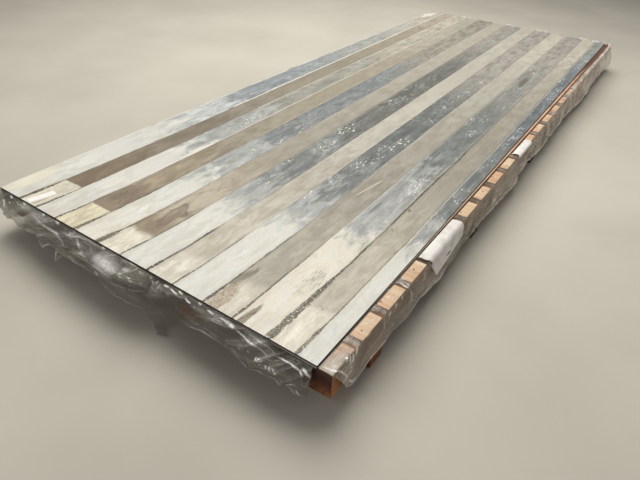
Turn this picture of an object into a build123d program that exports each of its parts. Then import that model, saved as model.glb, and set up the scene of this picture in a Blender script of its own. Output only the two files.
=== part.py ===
from build123d import *
import math
import os

# A flat load of two aluminium composite panels on their long pallet, with the cut clear
# wrap still hanging round it. Millimetres. X runs across the load, Y along it, Z up, and
# the near short end is at -Y. The origin is on the floor under the middle of the outline.

# Sheets
panel_width = 1500
panel_length = 4050
panel_thickness = 4
lower_turn = 0.41
lower_shift = 15.5

# Deck and timbers
side_ledge = 50
slat_count = 24
slat_width = 118
slat_thickness = 20
slat_first_pitch = 156
stringer_count = 4
stringer_width = 95
stringer_height = 75
bearer_count = 5
bearer_width = 75
bearer_height = 95
bearer_inset = 270
sawn_edge = 1.5

# Clear wrap, a skirt on each side with an uneven hem, heights above the floor
film_thickness = 2
film_clearance = 2
front_film_gap = 70
side_film_set_back = 10
side_film_rake = 100
front_hem = (69, 78, 104, 66, 36, 88, 38, 70)
right_hem = (48, 36, 58, 56, 67, 60, 50, 46, 42, 40)
left_hem = (58, 50, 60, 52, 58)
back_hem = (52, 60, 50, 56)

# White soft pads over the slat ends on the right
pad_thickness = 5
pad_bend = 12
pad_clearance = 4
long_pad_start = 610
long_pad_length = 290
long_pad_drop = 100
short_pad_start = 1610
short_pad_length = 200
short_pad_drop = 22

# Levels, from the floor up
stringer_bottom = bearer_height
slat_bottom = stringer_bottom + stringer_height
deck_top = slat_bottom + slat_thickness
upper_sheet_bottom = deck_top + panel_thickness

# Plan of the load. The wrap reaches past the deck on the left, and the wrap and a pad
# past it on the right, so the deck sits a little left of the middle.
deck_width = panel_width + side_ledge
reach_left = film_thickness
reach_right = film_thickness + pad_thickness
deck_right = (deck_width + reach_left - reach_right) / 2
deck_left = deck_right - deck_width
deck_middle = (deck_left + deck_right) / 2
deck_near = -panel_length / 2
deck_far = panel_length / 2
panel_right = deck_left + panel_width
panel_middle = (deck_left + panel_right) / 2


def lower_edge_x(y):
    """Where the turned lower sheet's right edge lies at a place along the load."""
    turn = math.radians(lower_turn)
    return panel_middle + lower_shift + panel_width / 2 / math.cos(turn) + y * math.tan(turn)


def hem_points(start, end, heights):
    """The hem's heights, evenly spaced from one end of a skirt to the other."""
    step = (end - start) / (len(heights) - 1)
    return [(start + i * step, height) for i, height in enumerate(heights)]


def skirt_face(plane, top_start, top_end, top, hem_start, heights):
    """A skirt seen square on: a straight top edge, two cut ends and a wavy hem."""
    with BuildSketch(plane) as outline:
        with BuildLine():
            hem = Spline(*hem_points(hem_start, top_end, heights))
            Polyline(hem @ 1, (top_end, top), (top_start, top), hem @ 0)
        make_face()
    return outline.sketch


os.makedirs("parts", exist_ok=True)

# Upper panel, square on the deck's left side and flush with both of its ends
with BuildPart() as panel_top:
    with BuildSketch(Plane.XY.offset(upper_sheet_bottom)):
        with Locations((panel_middle, 0)):
            Rectangle(panel_width, panel_length)
    extrude(amount=panel_thickness)
panel_top.part.label = "panel_top"
export_step(panel_top.part, "parts/panel_top.step")

# Lower panel, the same sheet turned a little, so that it shows as a wedge on the right
with BuildPart() as panel_lower:
    with BuildSketch(Plane.XY.offset(deck_top)):
        with Locations(Location((panel_middle + lower_shift, 0, 0), (0, 0, -lower_turn))):
            Rectangle(panel_width, panel_length)
    extrude(amount=panel_thickness)
panel_lower.part.label = "panel_lower"
export_step(panel_lower.part, "parts/panel_lower.step")

# Deck slats, flat boards across the pallet, nailed a little wider apart with each board
slat_steps = slat_count - 1
slat_growth = (panel_length - slat_width - slat_steps * slat_first_pitch) / (slat_steps * (slat_steps - 1) / 2)
for number in range(slat_count):
    slat_start = number * slat_first_pitch + number * (number - 1) / 2 * slat_growth
    slat_y = deck_near + slat_start + slat_width / 2
    with BuildPart() as deck_slat:
        with BuildSketch(Plane.XY.offset(slat_bottom)):
            with Locations((deck_middle, slat_y)):
                Rectangle(deck_width, slat_width)
        extrude(amount=slat_thickness)
        chamfer(deck_slat.edges().filter_by(Axis.X), sawn_edge)
    slat_name = f"deck_slat_{number + 1:02d}"
    deck_slat.part.label = slat_name
    export_step(deck_slat.part, f"parts/{slat_name}.step")

# Stringers, timbers along the pallet under the slats, the outer two flush with its sides
stringer_pitch = (deck_width - stringer_width) / (stringer_count - 1)
for number in range(stringer_count):
    stringer_x = deck_left + stringer_width / 2 + number * stringer_pitch
    with BuildPart() as stringer:
        with BuildSketch(Plane.XY.offset(stringer_bottom)):
            with Locations((stringer_x, 0)):
                Rectangle(stringer_width, panel_length)
        extrude(amount=stringer_height)
        chamfer(stringer.edges().filter_by(Axis.Y), sawn_edge)
    stringer_name = f"stringer_{number + 1}"
    stringer.part.label = stringer_name
    export_step(stringer.part, f"parts/{stringer_name}.step")

# Bearers, timbers across the bottom that stand on the floor, with fork room between them
bearer_pitch = (panel_length - 2 * bearer_inset) / (bearer_count - 1)
for number in range(bearer_count):
    bearer_y = deck_near + bearer_inset + number * bearer_pitch
    with BuildPart() as bearer:
        with BuildSketch():
            with Locations((deck_middle, bearer_y)):
                Rectangle(deck_width, bearer_width)
        extrude(amount=bearer_height)
        chamfer(bearer.edges().filter_by(Axis.X), sawn_edge)
    bearer_name = f"bearer_{number + 1}"
    bearer.part.label = bearer_name
    export_step(bearer.part, f"parts/{bearer_name}.step")

# Front wrap, cut off short of the right corner, where the pallet's timber shows bare
front_face = skirt_face(
    Plane.XZ.offset(-deck_near), deck_left, deck_right - front_film_gap, deck_top, deck_left, front_hem
)
with BuildPart() as film_front:
    extrude(front_face, amount=film_thickness)
film_front.part.label = "film_front"
export_step(film_front.part, "parts/film_front.step")

# Back wrap, hung from the far end of the deck
back_face = skirt_face(Plane.XZ.offset(-deck_far), deck_left, deck_right, deck_top, deck_left, back_hem)
with BuildPart() as film_back:
    extrude(back_face, amount=-film_thickness)
film_back.part.label = "film_back"
export_step(film_back.part, "parts/film_back.step")

# Left wrap, hung from the long side that the panels are flush with
left_face = skirt_face(Plane.YZ.offset(deck_left), deck_near, deck_far, deck_top, deck_near, left_hem)
with BuildPart() as film_left:
    extrude(left_face, amount=-film_thickness)
film_left.part.label = "film_left"
export_step(film_left.part, "parts/film_left.step")

# Right wrap, lying on the bare ledge beside the sheets and turned down over its edge
film_near = deck_near + side_film_set_back
film_top = deck_top + film_thickness
film_outside = deck_right + film_thickness
right_face = skirt_face(
    Plane.YZ.offset(deck_right), film_near, deck_far, film_top, film_near + side_film_rake, right_hem
)
with BuildPart() as film_right:
    extrude(right_face, amount=film_thickness)
    with BuildSketch(Plane.XY.offset(deck_top)):
        with BuildLine():
            Polyline(
                (lower_edge_x(film_near) + film_clearance, film_near),
                (film_outside, film_near),
                (film_outside, deck_far),
                (lower_edge_x(deck_far) + film_clearance, deck_far),
                close=True,
            )
        make_face()
    extrude(amount=film_thickness)
film_right.part.label = "film_right"
export_step(film_right.part, "parts/film_right.step")

# White pads, each a soft strip laid on the wrapped ledge and bent down over its edge
pads = {
    "edge_pad_long": (long_pad_start, long_pad_length, long_pad_drop),
    "edge_pad_short": (short_pad_start, short_pad_length, short_pad_drop),
}
pad_outside = film_outside + pad_thickness
pad_top = film_top + pad_thickness
for pad_name, (pad_start, pad_length, pad_drop) in pads.items():
    pad_near = deck_near + pad_start
    pad_inside = lower_edge_x(pad_near + pad_length) + pad_clearance
    with BuildPart() as edge_pad:
        with BuildSketch(Plane.XZ.offset(-pad_near)) as pad_profile:
            with BuildLine():
                Polyline(
                    (pad_inside, film_top),
                    (film_outside, film_top),
                    (film_outside, film_top - pad_drop),
                    (pad_outside, film_top - pad_drop),
                    (pad_outside, pad_top),
                    (pad_inside, pad_top),
                    close=True,
                )
            make_face()
            outer_corner = pad_profile.vertices().group_by(Axis.X)[-1].sort_by(Axis.Y)[-1]
            fillet(outer_corner, pad_bend)
        extrude(amount=-pad_length)
    edge_pad.part.label = pad_name
    export_step(edge_pad.part, f"parts/{pad_name}.step")
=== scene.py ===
import functools
import math

import bmesh
import bpy
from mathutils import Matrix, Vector, noise


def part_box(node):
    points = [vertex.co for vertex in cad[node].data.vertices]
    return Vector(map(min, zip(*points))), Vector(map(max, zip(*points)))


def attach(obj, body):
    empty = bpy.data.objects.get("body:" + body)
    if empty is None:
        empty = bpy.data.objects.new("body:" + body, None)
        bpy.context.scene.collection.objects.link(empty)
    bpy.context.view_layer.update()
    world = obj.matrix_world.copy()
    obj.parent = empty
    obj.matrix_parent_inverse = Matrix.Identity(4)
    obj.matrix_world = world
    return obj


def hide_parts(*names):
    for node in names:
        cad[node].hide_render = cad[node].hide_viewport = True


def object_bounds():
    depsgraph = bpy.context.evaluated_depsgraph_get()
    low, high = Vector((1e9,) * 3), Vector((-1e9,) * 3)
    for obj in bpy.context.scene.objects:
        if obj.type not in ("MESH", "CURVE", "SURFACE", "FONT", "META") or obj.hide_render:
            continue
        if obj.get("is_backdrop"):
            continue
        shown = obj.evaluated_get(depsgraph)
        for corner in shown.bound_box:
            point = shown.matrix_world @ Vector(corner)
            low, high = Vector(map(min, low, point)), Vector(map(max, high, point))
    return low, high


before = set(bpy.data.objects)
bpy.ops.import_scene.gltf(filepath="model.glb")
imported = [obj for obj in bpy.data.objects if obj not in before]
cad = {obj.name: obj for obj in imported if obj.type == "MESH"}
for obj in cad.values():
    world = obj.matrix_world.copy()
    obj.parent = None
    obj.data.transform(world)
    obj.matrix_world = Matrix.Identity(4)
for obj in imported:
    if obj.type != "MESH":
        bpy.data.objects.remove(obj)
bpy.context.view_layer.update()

# Camera, 1.3 m above the floor off the near right corner, looking down the length of the load.
# Its place and angles come from the four corners of the upper panel.
camera_place = Vector((1.2080, -2.8116, 1.2892))
yaw, pitch, roll = (math.radians(a) for a in (-32.335, 36.174, 3.135))
focal_pixels = 521.9
picture_width = 640
sensor_width = 36.0

ahead = Vector((math.cos(pitch) * math.sin(yaw), math.cos(pitch) * math.cos(yaw), -math.sin(pitch)))
level_right = ahead.cross(Vector((0, 0, 1))).normalized()
level_up = level_right.cross(ahead)
right = level_right * math.cos(roll) + level_up * math.sin(roll)
up = level_up * math.cos(roll) - level_right * math.sin(roll)

camera_data = bpy.data.cameras.new("camera")
camera_data.sensor_width = sensor_width
camera_data.lens = focal_pixels / picture_width * sensor_width
camera_data.clip_start, camera_data.clip_end = 0.05, 100
camera = bpy.data.objects.new("camera", camera_data)
bpy.context.collection.objects.link(camera)
for row in range(3):
    camera.matrix_world[row][0] = right[row]
    camera.matrix_world[row][1] = up[row]
    camera.matrix_world[row][2] = -ahead[row]
    camera.matrix_world[row][3] = camera_place[row]
bpy.context.scene.camera = camera
bpy.context.scene.view_settings.view_transform = "Standard"


# Studio light, a wide soft lamp above the far left, two narrow strip lamps off the near and
# the right side that put glints on the film, and a plain pale world that fills the shade.
def linear(hex_colour):
    """A material's sRGB hex colour as linear light, with full alpha."""
    parts = [int(hex_colour[i:i + 2], 16) / 255 for i in (1, 3, 5)]
    return [c / 12.92 if c <= 0.04045 else ((c + 0.055) / 1.055) ** 2.4 for c in parts] + [1.0]


def add_node(tree, kind, *feeds, sockets=None, stops=None, steps=None, **settings):
    """Adds one shader node. kind is its type and, after a space, its operation. feeds are its
    first inputs and sockets are inputs by name, each a link or a value. stops are the places and
    values on a ramp, and steps are the values of a ramp that goes up in even steps."""
    kind, _, operation = kind.partition(" ")
    made = tree.nodes.new("ShaderNode" + kind)
    if operation:
        made.operation = operation
    for name, value in settings.items():
        setattr(made, name, value)
    if steps:
        made.color_ramp.interpolation = "CONSTANT"
        stops = [(i / len(steps), value) for i, value in enumerate(steps)]
    if stops:
        ramp = made.color_ramp
        while len(ramp.elements) < len(stops):
            ramp.elements.new(1.0)
        for element, (place, colour) in zip(ramp.elements, stops):
            element.position = place
            element.color = linear(colour) if isinstance(colour, str) else [colour] * 3 + [1.0]
    for socket, feed in list(enumerate(feeds)) + list((sockets or {}).items()):
        if feed is None:
            continue
        if isinstance(feed, bpy.types.Node):
            feed = feed.outputs[0]
        if isinstance(feed, bpy.types.NodeSocket):
            tree.links.new(feed, made.inputs[socket])
        else:
            made.inputs[socket].default_value = linear(feed) if isinstance(feed, str) else feed
    return made


world = bpy.data.worlds.new("pale_studio")
bpy.context.scene.world = world
world.use_nodes = True
world.node_tree.nodes.clear()
sky = add_node(world.node_tree, "Background", "#E9EAE8", 0.17)
add_node(world.node_tree, "OutputWorld", sky)

# Each lamp: its name, its two sides, its power in watts and its place.
lamps = [
    ("wide_lamp", (3.8, 5.2), 350, (-1.1, 0.8, 4.6)),
    ("near_strip", (3.0, 0.18), 36, (-1.2, -5.2, 2.6)),
    ("right_strip", (0.18, 3.6), 32, (4.4, 0.4, 2.4)),
]
for lamp_name, (size, size_y), energy, lamp_place in lamps:
    lamp_data = bpy.data.lights.new(lamp_name, "AREA")
    lamp_data.shape = "RECTANGLE"
    lamp_data.size, lamp_data.size_y = size, size_y
    lamp_data.energy = energy
    lamp_data.color = linear("#FFFBF4")[:3]
    lamp = bpy.data.objects.new(lamp_name, lamp_data)
    bpy.context.collection.objects.link(lamp)
    lamp.location = lamp_place
    lamp.rotation_euler = (Vector((0, 0, 0.1)) - lamp.location).to_track_quat("-Z", "Y").to_euler()


# Floor, a plain pale screed that the load stands on and that keeps its shadow.
def new_finish(name):
    """An empty node material, and the function that adds nodes to it."""
    made = bpy.data.materials.new(name)
    made.use_nodes = True
    made.node_tree.nodes.clear()
    return made, functools.partial(add_node, made.node_tree)


def new_piece(name, bm, finish):
    """An object with one finish, whose mesh is taken from a bmesh, which is then freed."""
    mesh = bpy.data.meshes.new(name)
    bm.to_mesh(mesh)
    bm.free()
    mesh.materials.append(finish)
    piece = bpy.data.objects.new(name, mesh)
    bpy.context.collection.objects.link(piece)
    return piece


floor_half = 16.0

screed, node = new_finish("pale_floor_screed")
place = node("TexCoord").outputs["Object"]
cloud = node("TexNoise", place, sockets={"Scale": 1.3, "Detail": 5.0})
tone = node("ValToRGB", cloud.outputs["Fac"], stops=[(0.35, "#B5B1A6"), (0.65, "#BFBBB0")])
surface = node("BsdfPrincipled", tone, sockets={"Roughness": 0.8})
node("OutputMaterial", surface)

bm = bmesh.new()
bmesh.ops.create_grid(bm, x_segments=1, y_segments=1, size=floor_half)
floor = new_piece("floor", bm, screed)
floor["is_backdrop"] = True


# Upper panel, an aluminium composite sheet, 4 mm thick. Two thin aluminium skins are rolled
# onto a black plastic core, and the face is coil coated with a weathered plank decor, boards
# of uneven width that change from cream and white at the near end to slate, beige and brown.
def coat(part, finish):
    """Gives a part its one finish."""
    part.data.materials.clear()
    part.data.materials.append(finish)


panel_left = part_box("panel_top")[0].x
panel_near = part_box("panel_top")[0].y
panel_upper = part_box("panel_top")[1].z
panel_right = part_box("panel_top")[1].x
panel_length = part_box("panel_top")[1].y - panel_near
half_thickness, skin = 0.002, 0.0005

cream, parchment, ivory = "#E2DDCE", "#DAD2B9", "#DEDACD"
chalk, frost, mist = "#DADAD2", "#C2C6C6", "#A6A9A6"
slate, dark_slate, graphite = "#757A78", "#656A68", "#62635D"
ash, stone = "#96928A", "#AAA598"
pale_sand, putty, sand = "#B7B3A8", "#AEA99D", "#A9A396"
driftwood, umber, walnut = "#94866F", "#8A7C69", "#82735F"

# Each board: its right seam in mm from the panel's left edge, then its finishes from the
# near end, each with where it starts and over what length it comes in, in mm.
boards = [
    (152, "#D9D9D2", (740, 300, frost), (1120, 220, "#8D9498"), (2000, 500, "#969894"), (2900, 700, stone)),
    (254, cream, (182, 9, walnut), (400, 260, "#8A7F6D"), (900, 400, "#989080"), (3200, 600, "#AAA194")),
    (374, "#DAD9D1", (580, 320, mist), (1100, 500, "#9A988D"), (2340, 260, "#A5A091"),
     (3200, 700, "#B0A998")),
    (486, parchment, (144, 8, umber), (310, 90, "#9B8F79"), (560, 500, "#A59D8B"), (2300, 900, stone)),
    (612, ivory, (110, 170, chalk), (400, 320, mist), (940, 40, "#7B8081"), (2150, 500, "#8C877C")),
    (730, cream, (112, 34, driftwood), (220, 130, "#B3AA98"), (640, 500, sand), (1300, 900, putty)),
    (856, chalk, (370, 160, mist), (550, 300, slate), (1120, 300, graphite), (2450, 900, "#908D85")),
    (967, ivory, (112, 50, "#C0B9AA"), (230, 90, "#C2BCAE"), (800, 300, "#C9C5B9"), (2000, 700, pale_sand)),
    (1094, chalk, (420, 160, mist), (600, 260, slate), (860, 300, dark_slate), (1850, 700, ash)),
    (1211, "#CFC9BB", (120, 55, sand), (900, 400, putty), (1700, 300, pale_sand), (3000, 700, "#BEB9AC")),
    (1343, cream, (460, 220, mist), (1050, 300, slate), (1900, 400, "#8B8B85"), (2700, 600, ash)),
    (1440, cream, (160, 48, "#BDB7A8"), (800, 400, sand), (1900, 800, putty), (3000, 700, "#BEB9AC")),
    (1500, chalk, (540, 240, mist), (780, 130, slate), (1500, 500, "#70767A"), (3000, 700, "#838583")),
]
# Each seam: its dark line's width, length and strength, then the width and length of the crumbled strip at
# the near end, then the painted highlight along a ridge of paint beside it: how far to the right of the seam
# it lies, where it starts and its strength. All lengths in mm.
seams = [
    (4.4, 900, 0.75, 9, 210, -5, 1185, 0.95), (4.4, 420, 0.85, 6, 190, 5, 1250, 0.4),
    (5.0, 300, 0.9, 5, 170, -5, 450, 0.45), (5.0, 620, 0.85, 9, 160, -4, 900, 0.15),
    (6.0, 420, 0.9, 13, 110, 4, 900, 0.1), (4.4, 420, 0.8, 4, 130, 4, 900, 0.1),
    (6.6, 372, 1.0, 5, 140, 4, 900, 0.1), (3.8, 420, 0.75, 4, 140, -4, 900, 0.1),
    (4.8, 560, 0.9, 6, 150, 4, 900, 0.1), (4.6, 500, 0.9, 5, 200, 4, 300, 0.2),
    (6.4, 2000, 0.95, 13, 430, -7, 400, 0.15), (3.8, 900, 0.8, 7, 180, 5, 250, 0.3),
]
# Each mark: where it is in mm from the sheet's left and near edges, its half width and half
# length, its turn in degrees, its colour, its strength, and its kind.
marks = [
    (668, 272, 36, 84, 4, "#54453A", 1.0, "ring"), (668, 192, 52, 62, 0, "#7D6B5C", 0.55, "soft"),
    (672, 512, 3, 26, 32, "#6B5D49", 0.6, "soft"), (682, 540, 3, 20, -30, "#6B5D49", 0.6, "soft"),
    (548, 236, 16, 46, 18, "#EEF0EF", 0.95, "specks"), (788, 1090, 48, 110, 8, "#BDBEB8", 0.8, "strokes"),
    (822, 850, 10, 190, 1, "#5C6062", 0.75, "soft"), (770, 620, 20, 90, 6, "#6E7375", 0.5, "soft"),
    (1240, 785, 8, 66, 1, "#62676A", 0.8, "soft"), (1243, 1362, 8, 54, 0, "#5F6466", 0.85, "soft"),
    (330, 765, 13, 86, 3, "#85898A", 0.6, "soft"), (430, 285, 40, 120, 5, "#5E5142", 0.7, "strokes"),
    (388, 300, 14, 130, 2, "#4E4337", 0.7, "specks"), (1120, 50, 34, 90, 4, "#9A8468", 0.5, "soft"),
    (1118, 50, 38, 96, 6, "#6F5841", 0.8, "specks"), (1106, 165, 16, 70, -16, "#6A6149", 0.75, "soft"),
    (1385, 192, 44, 12, 14, "#857C65", 0.65, "specks"), (1356, 846, 8, 14, 20, "#6F6549", 0.85, "soft"),
    (1362, 690, 5, 12, 40, "#7E7459", 0.7, "soft"), (1228, 12, 14, 84, -7, "#75694F", 0.85, "soft"),
    (1229, 14, 13, 90, -7, "#4A3D2E", 0.9, "strokes"),
    # The thin dark line at 206, 36 mm, beside the label's edge, is a painted shadow.
    (1290, 262, 40, 84, -4, "#7C7A6C", 0.7, "strokes"), (206, 36, 1.6, 36, -12, "#2A2622", 0.95, "soft"),
    (1378, 1660, 2.6, 340, 2, "#8A8068", 0.55, "soft"), (803, 1342, 6, 14, 10, "#E9E6D2", 0.95, "soft"),
    (1266, 2640, 15, 104, 0, "#696A66", 0.7, "soft"), (1219, 2230, 5, 220, 0, "#73736C", 0.6, "soft"),
    (541, 1980, 20, 96, 2, "#696D70", 0.65, "soft"), (546, 2440, 11, 70, 0, "#74756F", 0.6, "soft"),
    (330, 1775, 26, 140, 0, "#7A7D79", 0.6, "soft"), (318, 2450, 9, 60, 0, "#7C7C74", 0.6, "soft"),
    (98, 1745, 20, 46, 15, "#D5D7D5", 0.7, "strokes"), (80, 2060, 22, 60, 10, "#D2D3CF", 0.6, "strokes"),
    (38, 3880, 34, 120, -6, "#DDDBD3", 0.85, "soft"), (150, 1164, 9, 24, 0, walnut, 0.95, "soft"),
    (1145, 905, 4, 100, -9, "#D3CBB7", 0.6, "soft"), (100, 1240, 16, 70, 4, "#E1E4E3", 0.7, "specks"),
    (35, 110, 40, 120, 0, "#E6DFC6", 0.6, "soft"), (905, 700, 40, 80, 12, "#B7A794", 0.4, "specks"),
    (1470, 1085, 24, 90, 4, "#E9ECEB", 1.0, "flecks"), (1472, 1420, 22, 80, 0, "#E9ECEB", 1.0, "flecks"),
    (1474, 2520, 24, 330, 0, "#E9ECEB", 1.0, "flecks"), (1470, 3380, 26, 420, 0, "#E3E8E9", 1.0, "flecks"),
    (1474, 1800, 22, 200, 0, "#E3E8E9", 0.9, "flecks"), (1462, 1240, 14, 110, 0, "#575B60", 0.7, "soft"),
    (1466, 2250, 14, 170, 0, "#565B60", 0.6, "soft"), (1474, 2860, 12, 150, 0, "#5A5E62", 0.6, "soft"),
    (796, 1370, 40, 120, 4, "#46494B", 0.7, "strokes"), (1030, 1180, 30, 120, 2, "#484C50", 0.6, "strokes"),
    (1020, 1480, 26, 130, 0, "#45494A", 0.6, "soft"), (770, 2020, 18, 120, 3, "#4B4C4A", 0.5, "soft"),
    (803, 2560, 18, 140, 0, "#5A5A55", 0.5, "soft"), (1221, 1375, 9, 60, 0, "#4E5352", 0.6, "soft"),
    (1256, 2690, 20, 120, 0, "#55554F", 0.6, "soft"), (787, 1128, 26, 60, 0, "#E6E9E8", 0.9, "flecks"),
    (1030, 1230, 36, 110, 0, "#E9ECEA", 0.9, "flecks"), (1035, 2090, 30, 90, 0, "#E0E3E0", 0.8, "flecks"),
    (522, 1400, 24, 60, 0, "#E4E7E5", 0.8, "flecks"), (502, 1967, 26, 80, 0, "#E0E3E0", 0.7, "flecks"),
    (1000, 880, 40, 60, 14, "#E1E4E4", 0.6, "strokes"), (1290, 1010, 34, 70, 10, "#DEE2E2", 0.7, "strokes"),
]
seam_colour, crumb_pale = "#30281E", "#E8E4D8"

# The decor's coat is satin, so it gives the lamps back as a soft wide sheen.
decor, node = new_finish("coil_coated_plank_decor")
place = node("TexCoord").outputs["Object"]
flat = node("Mapping", place, (-panel_left, -panel_near, 0), vector_type="POINT")
apart = node("SeparateXYZ", flat)
across, along = apart.outputs["X"], apart.outputs["Y"]

# The print's patterns. Worn patches of 45 by 110 mm, long streaks 14 mm wide, slanting wipes of
# a brush 16 mm wide and grit of 3 mm lie over all the boards. Each pattern: its shift, its turn,
# how often it repeats to the metre, its detail, its roughness and its distortion.
patterns = [
    ((0, 0, 0), 0.0, (2.5, 4, 1), 1, 0.5, 0.0), ((0, 0, 0), 0.0, (30, 34, 1), 3, 0.5, 0.0),
    ((0, 0, 0), 0.0, (23, 9, 1), 8, 0.66, 0.5), ((5, 2, 0), 0.0, (72, 5, 1), 6, 0.62, 0.3),
    ((0, 0, 0), 0.5, (62, 12, 1), 6, 0.66, 0.4), ((0, 0, 0), 0.3, (330, 200, 1), 3, 0.7, 0.0),
    ((3, 7, 0), 0.0, (11, 5, 1), 4, 0.5, 0.0), ((7, 3, 0), 0.75, (150, 26, 1), 5, 0.68, 0.6),
    ((9, 1, 0), 0.0, (170, 130, 1), 4, 0.7, 0.0), ((2, 8, 0), 0.85, (210, 34, 1), 3, 0.6, 0.3),
    ((4, 4, 0), 0.0, (9, 22, 1), 4, 0.6, 0.0), ((6, 1, 0), 0.0, (150, 36, 1), 6, 0.74, 0.0),
]
layers = []
for offset, turn, per_metre, detail, roughness, distortion in patterns:
    layer = node("TexNoise", node("Mapping", flat, offset, (0, 0, turn), per_metre),
                 sockets={"Scale": 1.0, "Detail": detail, "Roughness": roughness, "Distortion": distortion})
    layers.append(layer.outputs["Fac"])
drift, ragged, mottle, streaks, wipes, grit = layers[:6]
fleck_drift, scratches, speck_cells, stroke_lines, swell, smears = layers[6:]

# The printed seams bow by up to 30 mm over the length, more on the left than on the right, and
# wander by 3 mm over half a metre and by 1 mm over a few centimetres.
far_share = node("Math DIVIDE", along, panel_length)
bow = node("ValToRGB", far_share, stops=[(0.0, 0.026), (0.03, 0.014), (0.075, 0.005), (0.19, 0.0),
                                         (0.33, 0.002), (0.67, 0.017), (0.97, 0.031)])
bow_share = node("MapRange", across, 0.75, 1.05, 0.9, 0.4)
bow = node("Math MULTIPLY", bow, bow_share)
nudge = node("Math MULTIPLY_ADD", drift, 0.012, -0.0085)
nudge = node("Math MULTIPLY_ADD", ragged, 0.005, nudge)
wandering = node("Math ADD", across, node("Math ADD", bow, nudge))

seam_places = [board[0] / 1000 for board in boards[:-1]]
edges = [0.0] + [board[0] / 1000 for board in boards]
board_number, seam_number = 0.5, 0.5
for seam_place in seam_places:
    past = node("Math GREATER_THAN", wandering, seam_place)
    board_number = node("Math ADD", past, board_number)
for low, high in zip(edges[1:-2], edges[2:-1]):
    past = node("Math GREATER_THAN", wandering, (low + high) / 2)
    seam_number = node("Math ADD", past, seam_number)
board_key = node("Math DIVIDE", board_number, len(boards))
seam_key = node("Math DIVIDE", seam_number, len(seams))

# The boards' own finishes, each coming in with a worn edge, and the wear that lies over them. It is strongest
# on the cool boards, which are the odd ones, and fades into the near end. Over them all lies a painted shade,
# darkest through the middle of the length.
board_tone = node("ValToRGB", board_key, steps=[b[1] for b in boards])
for zone in (2, 3, 4, 5):
    start = node("ValToRGB", board_key, steps=[b[zone][0] / 1000 for b in boards])
    blend = node("ValToRGB", board_key, steps=[b[zone][1] / 1000 for b in boards])
    finish = node("ValToRGB", board_key, steps=[b[zone][2] for b in boards])
    shift = node("Math MULTIPLY", node("Math SUBTRACT", mottle, 0.5), blend)
    reach = node("Math MULTIPLY_ADD", shift, 3.4, along)
    ending = node("Math ADD", start, blend)
    share = node("MapRange", reach, start, ending, interpolation_type="SMOOTHSTEP")
    board_tone = node("MixRGB", share, board_tone, finish)

cool = node("ValToRGB", board_key, steps=[1 - i % 2 for i in range(len(boards))])
weathered = node("MapRange", along, 0.25, 0.85, 0.22, 1.0, interpolation_type="SMOOTHSTEP")
worn = node("Math MULTIPLY", cool, weathered)

blue_wash = node("MapRange", wipes, 0.5, 0.66, 0.0, 0.45)
near_half = node("MapRange", along, 0.5, 1.6, 1.2, 0.4)
blue_wash = node("Math MULTIPLY", blue_wash, node("Math MULTIPLY", cool, near_half))
board_tone = node("MixRGB", blue_wash, board_tone, "#CBD1D8")
warm_wash = node("MapRange", mottle, 0.56, 0.42, 0.0, 0.4)
calm = node("MapRange", along, 0.6, 1.8, 1.0, 0.5)
warm_wash = node("Math MULTIPLY", warm_wash, node("Math SUBTRACT", 1.0, worn))
warm_wash = node("Math MULTIPLY", warm_wash, calm)
board_tone = node("MixRGB", warm_wash, board_tone, "#D6CFC2", blend_type="MULTIPLY")

all_over = node("MapRange", mottle, 0.3, 0.7, 0.84, 1.12)
for layer, low, high in ((streaks, 0.88, 1.09), (wipes, 0.88, 1.09), (grit, 0.86, 1.1)):
    tone = node("MapRange", layer, 0.3, 0.7, low, high)
    all_over = node("Math MULTIPLY", all_over, tone)
all_over = node("MixRGB", calm, "#FFFFFF", all_over)
# Painted shade: all the boards are darker through the middle of the length, most from a fifth to half of the
# way along.
painted_shade_along = node("ValToRGB", far_share, stops=[(0.1, 1.0), (0.2, 0.76), (0.5, 0.79), (0.8, 1.0)])
all_over = node("Math MULTIPLY", all_over, painted_shade_along)
worn_tone = node("MapRange", mottle, 0.36, 0.66, 1.38, 0.68)
for layer, low, high in ((streaks, 1.22, 0.76), (wipes, 1.12, 0.88)):
    tone = node("MapRange", layer, 0.32, 0.68, low, high)
    worn_tone = node("Math MULTIPLY", worn_tone, tone)
worn_tone = node("MixRGB", worn, "#FFFFFF", worn_tone)
shade = node("Math MULTIPLY", all_over, worn_tone)
board_tone = node("MixRGB", 1.0, board_tone, shade, blend_type="MULTIPLY")

# Pale slanting scratches and white flecks of old paint, 4 to 14 mm, drift over the worn boards.
fleck = node("TexVoronoi", node("Mapping", flat, None, (0, 0, 0.3), (80, 46, 1)),
             sockets={"Scale": 1.0, "Randomness": 1.0})
limit = node("MapRange", fleck_drift, 0.52, 0.72, 0.0, 0.42)
limit = node("Math MULTIPLY", limit, worn)
roughened = node("Math MULTIPLY_ADD", grit, 0.3, fleck.outputs["Distance"])
roughened = node("Math SUBTRACT", roughened, 0.12)
is_fleck = node("Math LESS_THAN", roughened, limit)
is_fleck = node("Math MULTIPLY", is_fleck, 0.85)
scratched = node("MapRange", scratches, 0.52, 0.66, 0.0, 0.6)
where = node("MapRange", fleck_drift, 0.45, 0.6, 0.15, 1.0)
scratched = node("Math MULTIPLY", scratched, node("Math MULTIPLY", where, worn))
board_tone = node("MixRGB", scratched, board_tone, "#BFC2BF")
board_tone = node("MixRGB", is_fleck, board_tone, "#E4E6E2")
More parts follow.
